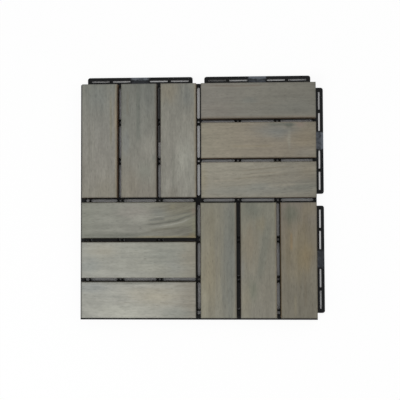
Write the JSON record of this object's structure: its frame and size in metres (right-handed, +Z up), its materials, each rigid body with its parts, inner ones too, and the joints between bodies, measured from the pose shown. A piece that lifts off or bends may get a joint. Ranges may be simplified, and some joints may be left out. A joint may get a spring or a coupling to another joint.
{
  "type": "interlocking deck tile",
  "caption": "Square outdoor floor tile: grey-stained hardwood slats in a basket weave, screwed to a black plastic lattice whose edge loops and pegs lock it to the next tile.",
  "frame": {"origin": "centre of the laying module, on the floor plane, at the bottom of the lattice's middle foot", "axes": "+Z up out of the tread; +X and +Y towards the two sides with loops, which are right and top in the picture"},
  "size_m": [0.309, 0.309, 0.019],
  "materials": {
    "black_plastic": "matte",
    "stained_wood": "matte",
    "screw_steel": "satin"
  },
  "bodies": {
    "root": {"lattice_base": "black_plastic", "slat_nw_1": "stained_wood", "slat_nw_2": "stained_wood", "slat_nw_3": "stained_wood", "slat_ne_1": "stained_wood", "slat_ne_2": "stained_wood", "slat_ne_3": "stained_wood", "slat_sw_1": "stained_wood", "slat_sw_2": "stained_wood", "slat_sw_3": "stained_wood", "slat_se_1": "stained_wood", "slat_se_2": "stained_wood", "slat_se_3": "stained_wood", "slat_screws": "screw_steel"}
  },
  "joints": []
}
